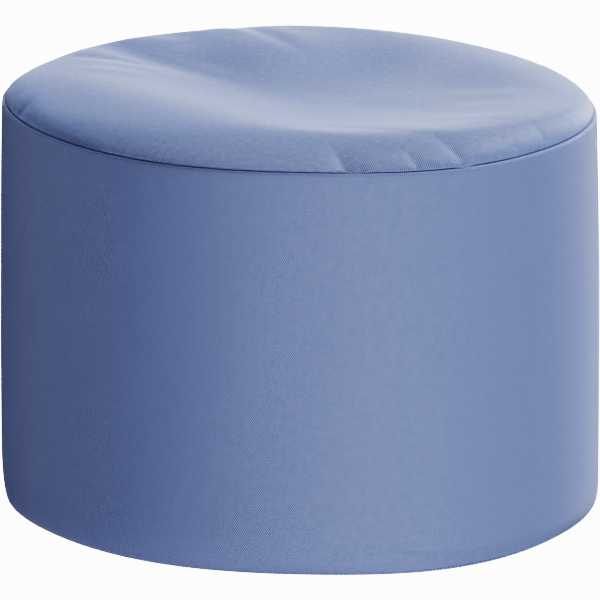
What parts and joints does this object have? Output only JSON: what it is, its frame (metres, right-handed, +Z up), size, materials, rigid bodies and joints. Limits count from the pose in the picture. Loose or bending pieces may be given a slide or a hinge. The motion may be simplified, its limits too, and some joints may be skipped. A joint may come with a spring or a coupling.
{
  "type": "bean bag footstool",
  "caption": "Low round bean bag footstool in plain blue twill, a filled drum with a slack, dished top sewn on all round and a flat base.",
  "frame": {"origin": "on the floor, in the middle of the base panel's underside", "axes": "+Z up; -Y is the front, the side that faces the viewer, and +X the viewer's right"},
  "size_m": [0.5052, 0.5039, 0.3725],
  "materials": {
    "side_cloth": "matte",
    "top_cloth": "matte",
    "base_cloth": "matte"
  },
  "bodies": {
    "root": {"drum": "side_cloth", "top_panel": "top_cloth", "base_panel": "base_cloth"}
  },
  "joints": []
}
